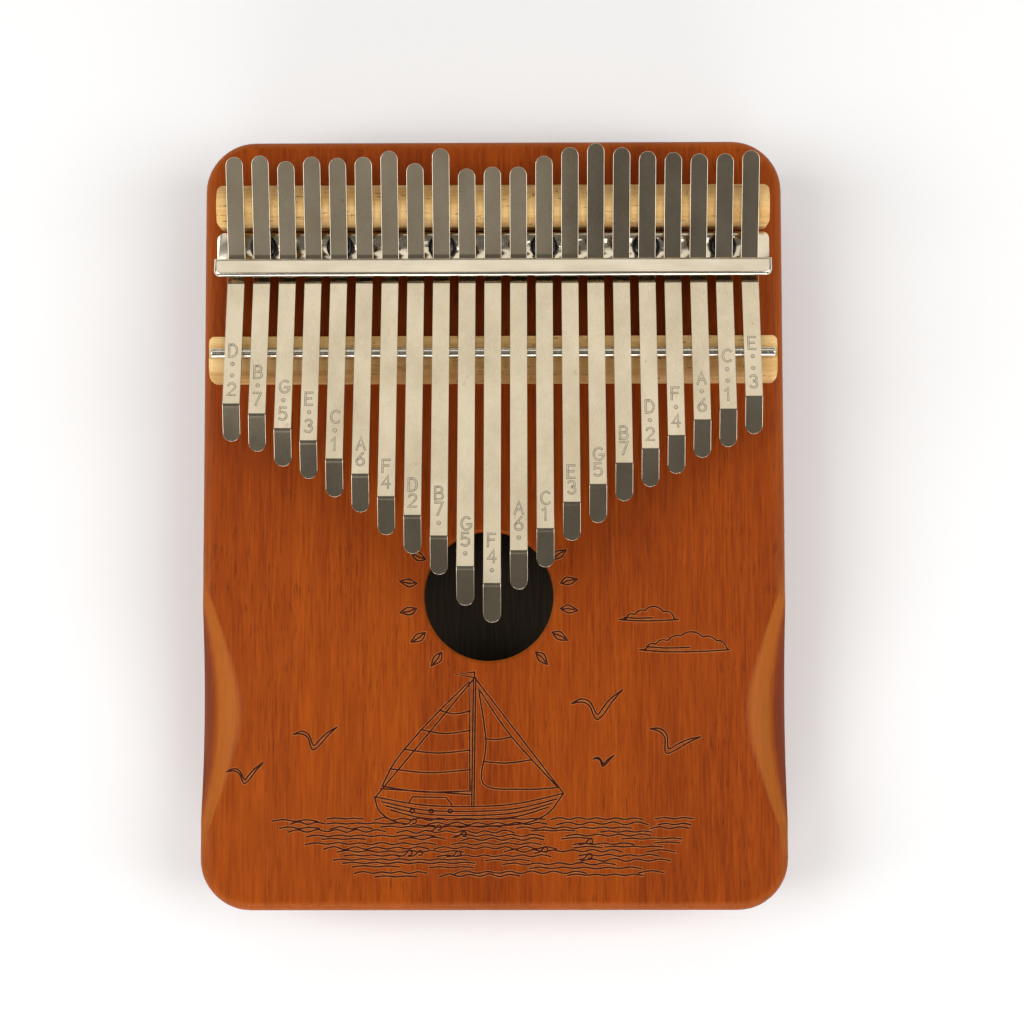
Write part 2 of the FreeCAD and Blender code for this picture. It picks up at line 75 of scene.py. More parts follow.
# The tine's side view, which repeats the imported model's shape.
TINE_GAUGE = 1.0 * MM
TINE_GAP = 0.05 * MM
TINE_RISE = math.radians(12.5)
TINE_TAIL_RISE = math.radians(14.0)
TINE_TIP_DROP = math.radians(12.0)
CLAMP_BEND = 12.0 * MM
TIP_BEND = 1.8 * MM
VALLEY_Y = 63.1 * MM
TIP_LENGTH = 9.0 * MM
END_FLAT = 0.1 * MM

# The tine's finer mesh: its rounded edges, in steps of degrees, and how closely its rings stand.
EDGE_SOFTENING = 0.11 * MM
EDGE_BENDS = [0, 30, 60, 90]
LEAST_WIDTH_SHARE = 0.2
END_STEPS = 12
STATION_PITCH = 0.40 * MM

# An edge that turns by more than this stays sharp.
SHARP_DEGREES = 40
TINY = 1e-9


def linear(red, green, blue):
    """A colour given on the 0 to 255 scale, as the shader wants it."""

    def channel(value):
        share = value / 255
        return share / 12.92 if share <= 0.04045 else ((share + 0.055) / 1.055) ** 2.4

    return channel(red), channel(green), channel(blue), 1.0


# ---------------------------------------------------------------- materials


class Material:
    """A node material with short calls for the nodes that the looks are made of."""

    def __init__(self, name):
        self.material = bpy.data.materials.new(name)
        self.material.use_nodes = True
        self.tree = self.material.node_tree
        self.shader = self.tree.nodes["Principled BSDF"]
        self.place = self.tree.nodes.new("ShaderNodeTexCoord").outputs["Object"]

    def node(self, kind, **settings):
        """A new node of a kind, with its settings."""
        made = self.tree.nodes.new(kind)
        for name, value in settings.items():
            setattr(made, name, value)
        return made

    def feed(self, socket, value):
        """Links another node's output to a socket, or sets the socket's own value."""
        if hasattr(value, "is_linked"):
            self.tree.links.new(value, socket)
        else:
            socket.default_value = value

    def stretched(self, scale):
        """The place on the object in metres, times a scale along each axis."""
        mapping = self.node("ShaderNodeMapping")
        self.feed(mapping.inputs["Vector"], self.place)
        mapping.inputs["Scale"].default_value = scale
        return mapping.outputs["Vector"]

    def place_part(self, axis):
        """The place on the object along one axis, in metres."""
        parts = self.node("ShaderNodeSeparateXYZ")
        self.feed(parts.inputs["Vector"], self.place)
        return parts.outputs[axis]

    def noise(self, scale, detail=2.0, roughness=0.5, warp=0.0):
        """Cloudy noise with so many features to a metre along each axis."""
        made = self.node("ShaderNodeTexNoise")
        self.feed(made.inputs["Vector"], self.stretched(scale))
        made.inputs["Scale"].default_value = 1.0
        made.inputs["Detail"].default_value = detail
        made.inputs["Roughness"].default_value = roughness
        made.inputs["Distortion"].default_value = warp
        return made.outputs["Fac"]

    def ramp(self, value, stops):
        """Colours by value, from (position, colour) stops."""
        made = self.node("ShaderNodeValToRGB")
        self.feed(made.inputs["Fac"], value)
        elements = made.color_ramp.elements
        while len(elements) < len(stops):
            elements.new(0.5)
        for element, (position, colour) in zip(elements, stops):
            element.position = position
            element.color = colour
        return made.outputs["Color"]

    def level(self, value, low, high, out_low=0.0, out_high=1.0):
        """A value between two limits, stretched to two others and kept within them."""
        made = self.node("ShaderNodeMapRange")
        self.feed(made.inputs["Value"], value)
        made.inputs["From Min"].default_value = low
        made.inputs["From Max"].default_value = high
        made.inputs["To Min"].default_value = out_low
        made.inputs["To Max"].default_value = out_high
        return made.outputs["Result"]

    def math(self, operation, first, second=0.0):
        """An operation on one or two values."""
        made = self.node("ShaderNodeMath", operation=operation)
        self.feed(made.inputs[0], first)
        self.feed(made.inputs[1], second)
        return made.outputs["Value"]

    def weighted(self, *parts):
        """The sum of (value, weight) pairs."""
        shares = [self.math("MULTIPLY", value, weight) for value, weight in parts]
        total = shares[0]
        for share in shares[1:]:
            total = self.math("ADD", total, share)
        return total

    def mix(self, share, first, second):
        """The first colour, with a share of the second."""
        made = self.node("ShaderNodeMix", data_type="RGBA", blend_type="MIX")
        self.feed(made.inputs["Factor"], share)
        self.feed(made.inputs["A"], first)
        self.feed(made.inputs["B"], second)
        return made.outputs["Result"]

    def bump(self, height, strength, distance):
        """Relief on the shader's normal."""
        made = self.node("ShaderNodeBump")
        made.inputs["Strength"].default_value = strength
        made.inputs["Distance"].default_value = distance
        self.feed(made.inputs["Height"], height)
        self.feed(self.shader.inputs["Normal"], made.outputs["Normal"])

    def set(self, **sockets):
        """Sets the shader's own sockets; a name's underscores stand for spaces."""
        for name, value in sockets.items():
            self.feed(self.shader.inputs[name.replace("_", " ")], value)


def mahogany(name="mahogany", stain_above=None):
    """Orange-brown hardwood under satin varnish, its fibres along Y, with fine dark pores.
    A stained piece is dark wherever it lies above a height."""
    wood = Material(name)
    broad = wood.noise((34, 4, 34), detail=3, roughness=0.5, warp=0.3)
    stripe = wood.noise((230, 8, 230), detail=3, roughness=0.6, warp=0.4)
    fibre = wood.noise((1700, 70, 1700), detail=4, roughness=0.65)
    tone = wood.weighted((broad, 0.34), (stripe, 0.22), (fibre, 0.44))
    colour = wood.ramp(tone, [
        (0.36, linear(119, 46, 6)),
        (0.47, linear(142, 59, 8)),
        (0.53, linear(152, 66, 9)),
        (0.65, linear(171, 80, 13)),
    ])
    pores = wood.noise((2300, 210, 2300), detail=2, roughness=0.4)
    pore_share = wood.level(pores, 0.57, 0.68)
    patches = wood.level(wood.noise((60, 22, 60), detail=2), 0.36, 0.60)
    pore_share = wood.math("MULTIPLY", wood.math("MULTIPLY", pore_share, patches), 0.45)
    colour = wood.mix(pore_share, colour, linear(88, 30, 6))
    # painted highlight: a paler sheen is painted on the scoops, and a little on the rounded edges
    along = wood.place_part("Y")
    height = wood.place_part("Z")
    below_face = wood.level(height, FACE - 0.05 * MM, FACE - 0.45 * MM)
    above_side = wood.level(height, FACE - 3.4 * MM, FACE - 2.0 * MM)
    from_scoop = wood.math("ABSOLUTE", wood.math("SUBTRACT", along, SCOOP_Y))
    sheen_share = wood.level(from_scoop, 26 * MM, 36 * MM, 0.42, 0.14)
    painted_sheen = wood.math("MULTIPLY", wood.math("MULTIPLY", below_face, above_side), sheen_share)
    colour = wood.mix(painted_sheen, colour, linear(196, 118, 40))
    # painted shade: the sides, below the rounded edges, are painted darker
    low = wood.level(height, FACE - 2.4 * MM, FACE - 4.6 * MM)
    colour = wood.mix(wood.math("MULTIPLY", low, 0.52), colour, linear(88, 28, 7))
    if stain_above is not None:
        stained = wood.math("GREATER_THAN", height, stain_above)
        stain = wood.ramp(fibre, [(0.35, linear(56, 48, 37)), (0.65, linear(71, 61, 49))])
        colour = wood.mix(stained, colour, stain)
    roughness = wood.level(fibre, 0.3, 0.7, 0.38, 0.48)
    relief = wood.math("SUBTRACT", wood.math("MULTIPLY", fibre, 0.5), pore_share)
    wood.bump(relief, 0.12, 0.05 * MM)
    wood.set(Base_Color=colour, Roughness=roughness, Specular_IOR_Level=0.09)
    return wood.material


def maple():
    """Pale, warm wood with faint bands along X, fine flecks along them and small checks across."""
    wood = Material("maple")
    broad = wood.noise((14, 220, 220), detail=3, roughness=0.55, warp=0.5)
    fibre = wood.noise((60, 1900, 1900), detail=3, roughness=0.6)
    tone = wood.weighted((broad, 0.7), (fibre, 0.3))
    colour = wood.ramp(tone, [
        (0.34, linear(198, 150, 87)),
        (0.50, linear(224, 179, 112)),
        (0.64, linear(238, 201, 138)),
    ])
    flecks = wood.level(wood.noise((300, 1900, 1900), detail=1, warp=0.6), 0.66, 0.72)
    checks = wood.level(wood.noise((2600, 420, 420), detail=1, warp=0.4), 0.70, 0.74)
    flecks = wood.math("MULTIPLY", wood.math("MAXIMUM", flecks, checks), 0.6)
    colour = wood.mix(flecks, colour, linear(92, 58, 28))
    height = wood.math("SUBTRACT", wood.math("MULTIPLY", fibre, 0.5), flecks)
    wood.bump(height, 0.2, 0.05 * MM)
    roughness = wood.level(fibre, 0.3, 0.7, 0.38, 0.5)
    wood.set(Base_Color=colour, Roughness=roughness, Specular_IOR_Level=0.2)
    return wood.material


def tine_steel():
    """Nickel-plated spring steel with a fine grind along its length and a little tarnish."""
    steel = Material("tine_steel")
    grind = steel.noise((5200, 60, 5200), detail=3, roughness=0.7)
    cloud = steel.noise((90, 60, 90), detail=3, roughness=0.6)
    spots = steel.level(steel.noise((420, 300, 420), detail=2), 0.70, 0.78)
    tone = steel.weighted((grind, 0.35), (cloud, 0.65))
    colour = steel.ramp(tone, [(0.35, linear(204, 190, 165)), (0.62, linear(226, 213, 189))])
    colour = steel.mix(steel.math("MULTIPLY", spots, 0.25), colour, linear(150, 128, 98))
    ground = steel.level(grind, 0.3, 0.7, 0.07, 0.11)
    roughness = steel.math("ADD", ground, steel.math("MULTIPLY", cloud, 0.03))
    steel.set(Base_Color=colour, Metallic=1.0, Roughness=roughness)
    return steel.material


def plated_bar():
    """Bright plating on the bent bar, a little softer than a mirror."""
    steel = Material("plated_bar")
    grain = steel.noise((120, 4200, 4200), detail=3, roughness=0.7)
    cloud = steel.noise((70, 160, 160), detail=2)
    colour = steel.ramp(cloud, [(0.3, linear(214, 203, 182)), (0.7, linear(236, 226, 206))])
    steel.bump(grain, 0.08, 0.02 * MM)
    steel.set(Base_Color=colour, Metallic=1.0, Roughness=steel.level(grain, 0.3, 0.7, 0.13, 0.22))
    return steel.material


def rod_steel():
    """Turned steel, with faint rings round the rod."""
    steel = Material("rod_steel")
    turned = steel.noise((2600, 300, 300), detail=2, roughness=0.6)
    colour = steel.ramp(turned, [(0.3, linear(205, 195, 176)), (0.7, linear(232, 224, 208))])
    steel.bump(turned, 0.06, 0.015 * MM)
    steel.set(Base_Color=colour, Metallic=1.0, Roughness=steel.level(turned, 0.3, 0.7, 0.12, 0.2))
    return steel.material


def dark_screw():
    """Blackened steel, rubbed a little brighter in places."""
    steel = Material("dark_screw")
    rub = steel.noise((700, 700, 700), detail=3)
    colour = steel.ramp(rub, [
        (0.35, linear(28, 28, 31)),
        (0.60, linear(62, 62, 68)),
        (0.75, linear(116, 114, 118)),
    ])
    steel.bump(rub, 0.1, 0.05 * MM)
    steel.set(Base_Color=colour, Metallic=0.85, Roughness=steel.level(rub, 0.3, 0.7, 0.28, 0.45))
    return steel.material


def burnt_line():
    """Charred engraving, darker where the tool lingered."""
    char = Material("burnt_line")
    depth = char.noise((900, 900, 900), detail=3, roughness=0.6)
    colour = char.ramp(depth, [(0.35, linear(36, 11, 5)), (0.65, linear(76, 25, 10))])
    char.bump(depth, 0.5, 0.08 * MM)
    roughness = char.level(depth, 0.3, 0.7, 0.6, 0.8)
    char.set(Base_Color=colour, Roughness=roughness, Specular_IOR_Level=0.1)
    return char.material


def line_rim():
    """The paler edge that the burning tool raises beside a line."""
    rim = Material("line_rim")
    depth = rim.noise((700, 700, 700), detail=2)
    colour = rim.ramp(depth, [(0.3, linear(164, 88, 36)), (0.7, linear(190, 116, 60))])
    rim.bump(depth, 0.3, 0.04 * MM)
    roughness = rim.level(depth, 0.3, 0.7, 0.45, 0.6)
    rim.set(Base_Color=colour, Roughness=roughness, Specular_IOR_Level=0.14)
    return rim.material


def stamped_painted_shade():
    """Painted shade: the shadowed wall of a note stamped in the steel, painted darker on a flat ribbon."""
    mark = Material("stamped_painted_shade")
    wear = mark.noise((1600, 1600, 1600), detail=2)
    colour = mark.ramp(wear, [(0.3, linear(96, 86, 70)), (0.7, linear(134, 122, 102))])
    mark.set(Base_Color=colour, Metallic=0.7, Roughness=mark.level(wear, 0.3, 0.7, 0.4, 0.55))
    return mark.material


def stamped_painted_highlight():
    """Painted highlight: the floor of a stamped note, painted lighter as if it catches the light."""
    mark = Material("stamped_painted_highlight")
    wear = mark.noise((1600, 1600, 1600), detail=2)
    colour = mark.ramp(wear, [(0.3, linear(206, 194, 170)), (0.7, linear(232, 222, 200))])
    mark.set(Base_Color=colour, Metallic=0.9, Roughness=mark.level(wear, 0.3, 0.7, 0.25, 0.35))
    return mark.material


def pale_floor():
    """Matt, nearly white paper, which glows a little past the lamps' reach so that it stays pale."""
    floor = Material("pale_floor")
    cloud = floor.noise((6, 6, 6), detail=2)
    colour = floor.ramp(cloud, [(0.3, (0.95, 0.95, 0.955, 1)), (0.7, (0.97, 0.97, 0.975, 1))])
    away = floor.node("ShaderNodeVectorMath", operation="LENGTH")
    floor.feed(away.inputs["Vector"], floor.place)
    glow = floor.level(away.outputs["Value"], 0.6, 2.0, 0.0, 0.5)
    floor.set(Base_Color=colour, Roughness=0.7)
    floor.set(Emission_Color=(1.0, 0.99, 0.97, 1), Emission_Strength=glow)
    return floor.material


# ---------------------------------------------------------------- pieces


def piece_from(name, vertices, faces, materials, face_slots=None, normals=None):
    """A mesh object, smooth except at sharp edges, or with the normals given for its first vertices."""
    mesh = bpy.data.meshes.new(name)
    mesh.from_pydata(vertices, [], faces)
    mesh.validate()
    for material in materials:
        mesh.materials.append(material)
    if face_slots:
        mesh.polygons.foreach_set("material_index", face_slots)
    made = bpy.data.objects.new(name, mesh)
    bpy.context.scene.collection.objects.link(made)
    work = bmesh.new()
    work.from_mesh(mesh)
    bmesh.ops.recalc_face_normals(work, faces=work.faces)
    limit = math.radians(SHARP_DEGREES)
    for face in work.faces:
        face.smooth = True
    for edge in work.edges:
        edge.smooth = len(edge.link_faces) == 2 and edge.calc_face_angle(0) < limit
    work.to_mesh(mesh)
    work.free()
    if normals:
        # a normal of no length leaves the vertex's own
        spare = [(0.0, 0.0, 0.0)] * (len(mesh.vertices) - len(normals))
        mesh.normals_split_custom_set_from_vertices(normals + spare)
    return made


class TineLine:
    """A tine's centre line, read from its packed box and the bridge rod's."""

    def __init__(self, number):
        low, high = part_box(f"tine_{number:02d}")
        rod_low, rod_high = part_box("bridge_rod")
        self.x = (low.x + high.x) / 2
        self.width = high.x - low.x
        self.half = TINE_GAUGE / 2
        rod = Vector(((rod_low.y + rod_high.y) / 2, (rod_low.z + rod_high.z) / 2))
        lift = (rod_high.z - rod_low.z) / 2 + TINE_GAP + self.half
        self.over_rod = rod + self.up(TINE_RISE) * lift
        valley_height = self.line_height(VALLEY_Y)
        self.centre = Vector((VALLEY_Y, valley_height + CLAMP_BEND / math.cos(TINE_RISE)))
        self.tail_y = high.y - self.half * math.sin(TINE_TAIL_RISE)
        self.tip_y = low.y + self.half * math.sin(TINE_TIP_DROP)
        self.bend_y = self.tip_y + TIP_LENGTH
        start = Vector((self.bend_y, self.line_height(self.bend_y)))
        self.tip_centre = start - self.up(TINE_RISE) * TIP_BEND
        self.runs = self.measure()
        self.length = sum(run[0] for run in self.runs)

    @staticmethod
    def up(angle):
        """The direction (y, z) square to a line that rises towards -Y at an angle."""
        return Vector((math.sin(angle), math.cos(angle)))

    def line_height(self, y):
        """The height of the playing length's centre line at a place along Y."""
        return self.over_rod.y + (self.over_rod.x - y) * math.tan(TINE_RISE)

    def measure(self):
        """Each run as (length, its slope at the start, at the end, start point), from the tail end."""
        tail_start = self.centre - self.up(-TINE_TAIL_RISE) * CLAMP_BEND
        tail_rise = (self.tail_y - tail_start.x) * math.tan(TINE_TAIL_RISE)
        tail_end = Vector((self.tail_y, tail_start.y + tail_rise))
        play_start = self.centre - self.up(TINE_RISE) * CLAMP_BEND
        play_end = self.tip_centre + self.up(TINE_RISE) * TIP_BEND
        tip_start = self.tip_centre + self.up(-TINE_TIP_DROP) * TIP_BEND
        tip_run = (tip_start.x - self.tip_y) / math.cos(TINE_TIP_DROP)
        clamp_arc = CLAMP_BEND * (TINE_RISE + TINE_TAIL_RISE)
        tip_arc = TIP_BEND * (TINE_RISE + TINE_TIP_DROP)
        return [
            ((tail_end - tail_start).length, -TINE_TAIL_RISE, -TINE_TAIL_RISE, tail_end),
            (clamp_arc, -TINE_TAIL_RISE, TINE_RISE, tail_start),
            ((play_end - play_start).length, TINE_RISE, TINE_RISE, play_start),
            (tip_arc, TINE_RISE, -TINE_TIP_DROP, play_end),
            (tip_run, -TINE_TIP_DROP, -TINE_TIP_DROP, tip_start),
        ]

    def at(self, along):
        """The point (y, z) and the slope at a length from the tail end."""
        left = along
        for length, slope, end_slope, start in self.runs:
            if left <= length + TINY:
                break
            left -= length
        left = min(left, length)
        turn = (end_slope - slope) * left / length
        if abs(end_slope - slope) < TINY:
            step = Vector((-math.cos(slope), math.sin(slope))) * left
            return start + step, slope
        radius = length / (end_slope - slope)
        centre = start + self.up(slope) * radius
        return centre - self.up(slope + turn) * radius, slope + turn

    def place(self, across, along, above):
        """A point of the frame, from its x off the middle, length from the tail and height off the line."""
        point, slope = self.at(along)
        point = point + self.up(slope) * above
        return self.x + across, point.x, point.y

    def bend_length(self):
        """The length from the tail end to where the tip starts to drop."""
        return sum(run[0] for run in self.runs[:3])


def tine_stations(line):
    """Each ring's length from the tail end, its half width, and the way its edge faces: an angle near
    0 at the tail end, a right angle along the sides and near two right angles at the tip."""
    radius = line.width / 2
    first = math.asin(END_FLAT / line.width)
    turns = [first + (math.pi / 2 - first) * n / END_STEPS for n in range(END_STEPS + 1)]
    ends = [(radius * (1 - math.cos(turn)), radius * math.sin(turn), turn) for turn in turns]
    stop = line.length - radius
    count = math.ceil((stop - radius) / STATION_PITCH)
    middle = [(radius + (stop - radius) * n / count, radius, math.pi / 2) for n in range(1, count)]
    far = [(line.length - along, wide, math.pi - turn) for along, wide, turn in reversed(ends)]
    return ends + middle + far


def tine_ring(line, along, half_width, turn):
    """One ring round the tine, flat above and below with rounded edges: its points and normals."""
    points, normals = [], []
    onward, back = EDGE_BENDS, EDGE_BENDS[::-1]
    for side, lift, bends in ((1, 1, onward), (-1, 1, back), (-1, -1, onward), (1, -1, back)):
        for degrees in bends:
            bend = math.radians(degrees)
            pulled_in = EDGE_SOFTENING * (1 - math.cos(bend))
            least = LEAST_WIDTH_SHARE * half_width
            across = side * max(half_width - math.sin(turn) * pulled_in, least)
            place = along + math.cos(turn) * pulled_in
            above = lift * (line.half - EDGE_SOFTENING * (1 - math.sin(bend)))
            points.append(line.place(across, place, above))
            _, slope = line.at(min(max(place, 0.0), line.length))
            up = line.up(slope)
            outward = side * math.sin(turn) * math.cos(bend)
            endward = math.cos(turn) * math.cos(bend)
            towards_tail = Vector((math.cos(slope), -math.sin(slope)))
            lean = up * lift * math.sin(bend) + towards_tail * endward
            normals.append((outward, lean.x, lean.y))
    return points, normals


def tine_mesh(line):
    """The vertices, faces and normals of a tine."""
    vertices, faces, normals = [], [], []
    stations = tine_stations(line)
    for station in stations:
        points, leans = tine_ring(line, *station)
        vertices += points
        normals += leans
    count = 4 * len(EDGE_BENDS)
    for ring in range(len(stations) - 1):
        for n in range(count):
            here = ring * count + n
            beside = ring * count + (n + 1) % count
            faces.append((here, beside, beside + count, here + count))
    # each end is closed by narrow strips from one side of its ring to the other
    half = count // 2
    for base in (0, (len(stations) - 1) * count):
        for low in (0, half):
            for n in range(len(EDGE_BENDS) - 1):
                far = low + half - 1 - n
                faces.append((base + low + n, base + low + n + 1, base + far - 1, base + far))
        faces.append((base, base + half - 1, base + half, base + count - 1))
    return vertices, faces, normals


# ---------------------------------------------------------------- strokes and letters

# Points nearer than this are the same. A ribbon's corners are mitred up to a limit, and its ends run on.
SAME_POINT = 1e-6
LEAST_COSINE = 1e-3
LONGEST_MITRE = 1.6
END_OVERRUN = 0.35


def arc_points(x, y, radius, start, end, squash=1.0, steps=10):
    """Points round part of an ellipse, from one angle in degrees to another."""
    found = []
    for n in range(steps + 1):
        angle = math.radians(start + (end - start) * n / steps)
        found.append((x + radius * math.cos(angle), y + radius * squash * math.sin(angle)))
    return found


def letters():
    """Plain single-stroke letters and digits, one unit high, drawn from the lower left."""
    return {
        "A": [[(0, 0), (0.32, 1), (0.64, 0)], [(0.12, 0.36), (0.52, 0.36)]],
        "B": [
            [(0, 0), (0, 1), (0.3, 1)] + arc_points(0.3, 0.76, 0.24, 90, -90) + [(0, 0.52)],
            [(0.3, 0.52)] + arc_points(0.34, 0.26, 0.26, 90, -90) + [(0, 0)],
        ],
        "C": [arc_points(0.38, 0.5, 0.38, 48, 312, squash=1.3, steps=16)],
        "D": [
            [(0, 0), (0, 1), (0.22, 1)] + arc_points(0.22, 0.5, 0.4, 90, -90, squash=1.25) + [(0, 0)],
        ],
        "E": [[(0.55, 1), (0, 1), (0, 0), (0.55, 0)], [(0, 0.52), (0.46, 0.52)]],
        "F": [[(0.55, 1), (0, 1), (0, 0)], [(0, 0.54), (0.46, 0.54)]],
        "G": [
            arc_points(0.38, 0.5, 0.38, 50, 345, squash=1.3, steps=16) + [(0.75, 0.44), (0.42, 0.44)],
        ],
        "1": [[(0.1, 0.78), (0.32, 1), (0.32, 0)]],
        "2": [arc_points(0.3, 0.7, 0.28, 160, -30) + [(0, 0), (0.6, 0)]],
        "3": [arc_points(0.28, 0.75, 0.25, 150, -80) + arc_points(0.28, 0.27, 0.28, 80, -150)],
        "4": [[(0.44, 0), (0.44, 1), (0, 0.3), (0.6, 0.3)]],
        "5": [[(0.54, 1), (0.08, 1), (0.04, 0.56)] + arc_points(0.28, 0.32, 0.32, 110, -140)],
        "6": [[(0.5, 1), (0.1, 0.5)] + arc_points(0.3, 0.29, 0.29, 160, -200, steps=16)],
        "7": [[(0, 1), (0.58, 1), (0.2, 0)]],
        "o": [arc_points(0.3, 0.5, 0.3, 0, 360, steps=12)],
    }


def ribbon(points, width, place):
    """A flat strip along a line of (x, y) points; place turns each (x, y) into a point of the frame."""
    closed = len(points) > 2 and math.dist(points[0], points[-1]) < SAME_POINT
    line = [Vector(p) for p in (points[:-1] if closed else points)]
    count = len(line)
    vertices = []
    for n in range(count):
        before = line[n - 1] if closed or n > 0 else line[0] * 2 - line[1]
        after = line[(n + 1) % count] if closed or n < count - 1 else line[n] * 2 - line[n - 1]
        into = (line[n] - before).normalized()
        out = (after - line[n]).normalized()
        along = into + out
        along = along.normalized() if along.length > SAME_POINT else into
        side = Vector((-along.y, along.x))
        square = Vector((-into.y, into.x))
        stretch = min(1 / max(abs(side.dot(square)), LEAST_COSINE), LONGEST_MITRE)
        reach = side * (width / 2 * stretch)
        spare = Vector((0, 0))
        if not closed and n in (0, count - 1):
            spare = along * width * (-END_OVERRUN if n == 0 else END_OVERRUN)
        vertices += [place(*(line[n] + reach + spare)), place(*(line[n] - reach + spare))]
    faces = []
    for n in range(count if closed else count - 1):
        here, there = 2 * n, 2 * ((n + 1) % count)
        faces.append((here, here + 1, there + 1, there))
    return vertices, faces


class Strokes:
    """Collects ribbons of two widths into one mesh with two materials."""

    def __init__(self):
        self.vertices, self.faces, self.slots = [], [], []

    def add(self, points, width, place, slot):
        """Adds a ribbon along the points, in one of the materials."""
        vertices, faces = ribbon(points, width, place)
        base = len(self.vertices)
        self.vertices += vertices
        self.faces += [tuple(base + v for v in face) for face in faces]
        self.slots += [slot] * len(faces)


# ---------------------------------------------------------------- the tines' notes

SCALE_FROM_C = "CDEFGAB"
SCALE_FROM_F = "FGABCDE"
STEPS_FROM_C_TO_F = 3
LETTER_HEIGHT = 3.1 * MM
LETTER_WIDTH_SHARE = 0.62
LETTER_STEP = 3.9 * MM
DOT_SIZE = 0.85 * MM
DOT_STEP = 3.0 * MM
MARK_MARGIN = 1.6 * MM

# A stamped line is a ribbon of painted shade with one of painted highlight on it, each a little off the
# steel.
MARK_WIDTH = 0.52 * MM
MARK_CORE = 0.26 * MM
MARK_LEVEL = 0.012 * MM
CORE_LEVEL = 0.024 * MM


def note_of(number):
    """The tine's letter, its digit in the scale of C, and how many octaves it is over the middle one."""
    side = 2 * abs(number - MIDDLE_TINE)
    step = max(side - 1 if number < MIDDLE_TINE else side, 0)
    letter = SCALE_FROM_F[step % 7]
    digit = SCALE_FROM_C.index(letter) + 1
    octave = (step + STEPS_FROM_C_TO_F) // 7 - 1
    return letter, str(digit), octave


def note_marks(number):
    """The marks from the rod towards the tip as (sign, size): letter, rings and digit."""
    letter, digit, octave = note_of(number)
    marks = [(letter, LETTER_HEIGHT)]
    marks += [("o", DOT_SIZE)] * octave
    marks.append((digit, LETTER_HEIGHT))
    if octave < 0:
        marks.append(("o", DOT_SIZE))
    return marks


def add_note(strokes, line, number, dark, light):
    """Stamps a tine's note just above its bend, in two of the tine's materials."""
    shapes = letters()
    marks = note_marks(number)
    steps = [LETTER_STEP if sign != "o" else DOT_STEP for sign, _ in marks]
    along = line.bend_length() - sum(steps) - MARK_MARGIN
    for (sign, height), step in zip(marks, steps):
        width = LETTER_WIDTH_SHARE * height
        foot = along + (step + height) / 2

        def place(x, y, level, foot=foot, height=height, width=width):
            return line.place(x * height - width / 2, foot - y * height, line.half + level)

        for stroke in shapes[sign]:
            # painted shade below, painted highlight on it, for a stamped groove
            strokes.add(stroke, MARK_WIDTH / height, lambda x, y: place(x, y, MARK_LEVEL), dark)
            strokes.add(stroke, MARK_CORE / height, lambda x, y: place(x, y, CORE_LEVEL), light)
        along += step


def make_tine(number, steel, dark, light):
    """A tine with its note, which stands for the imported tine."""
    name = f"tine_{number:02d}"
    line = TineLine(number)
    vertices, faces, normals = tine_mesh(line)
    strokes = Strokes()
    add_note(strokes, line, number, dark=1, light=2)
    slots = [0] * len(faces) + strokes.slots
    base = len(vertices)
    vertices = vertices + strokes.vertices
    faces = faces + [tuple(base + v for v in face) for face in strokes.faces]
    made = piece_from(f"{name}_strip", vertices, faces, [steel, dark, light], slots, normals)
    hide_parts(name)
    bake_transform(made)


# ---------------------------------------------------------------- the engraved picture

# A burnt line lies on a wider, paler rim. Each further line of the picture is a hair higher.
LINE_WIDTH = 0.38 * MM
RIM_WIDTH = 0.68 * MM
LINE_LEVEL = 0.06 * MM
RIM_LEVEL = 0.015 * MM
LEVEL_STEP = 0.0004 * MM

# The boat, as long as its hull, with its heights pressed down a little.
HULL_LENGTH = 46 * MM
RIG_SQUAT = 0.86

# The leaf-shaped rays round the sound hole, by their directions in degrees.
RAY_DIRECTIONS = (-50, -30, -10, 10, 30, 150, 170, 190, 210, 230)
RAY_GAP = 2.0 * MM
RAY_LENGTH = 4.2 * MM
RAY_WIDTH = 1.9 * MM

# The sea's rows of swells, in mm. The rows are shorter, and their gaps longer, towards the foot.
SEA_ROWS = 15
SEA_WIDTH = 105
SEA_NARROWING = 30
ROW_INDENTS = (0, 8)
SWELL_LENGTHS = (7, 34)
SWELL_HEIGHTS = (0.12, 0.38)
SWELL_SHIFTS = (-0.25, 0.25)
SWELL_GAPS = (0.5, 12)
LEAST_SWELL = 5
SWELL_SPACING = 5
CURL_COUNT = 9
CURL_SIZE = 1.5 * MM
CLOUD_STEPS = 60


class Face:
    """The top of the sound box: finds the height and lean of the wood under a point."""

    def __init__(self, node):
        mesh = node.data
        corners = [v.co.copy() for v in mesh.vertices]
        triangles = [tuple(p.vertices) for p in mesh.polygons]
        self.tree = BVHTree.FromPolygons(corners, triangles)
        self.high = max(v.z for v in corners) + 1 * MM

    def place(self, x, y, level):
        """The point at a level over the wood at (x, y)."""
        found, normal, _, _ = self.tree.ray_cast(Vector((x, y, self.high)), Vector((0, 0, -1)))
        if found is None:
            return x, y, self.high
        if normal.z < 0:
            normal = -normal
        return tuple(found + normal * level)


def smooth_line(points, steps=6):
    """A curve through the points, rounded between them."""
    line = [Vector(p) for p in points]
    found = []
    for n in range(len(line) - 1):
        before = line[max(n - 1, 0)]
        here, there = line[n], line[n + 1]
        after = line[min(n + 2, len(line) - 1)]
        for step in range(steps):
            t = step / steps
            found.append(tuple(0.5 * (
                2 * here + (there - before) * t
                + (2 * before - 5 * here + 4 * there - after) * t * t
                + (3 * here - before - 3 * there + after) * t * t * t
            )))
    return found + [tuple(line[-1])]


def shifted(points, x, y, size=1.0, lean=0.0):
    """Points turned by an angle, scaled and moved to a place on the face."""
    turn = Matrix.Rotation(lean, 2)
    return [tuple(turn @ Vector(p) * size + Vector((x, y))) for p in points]


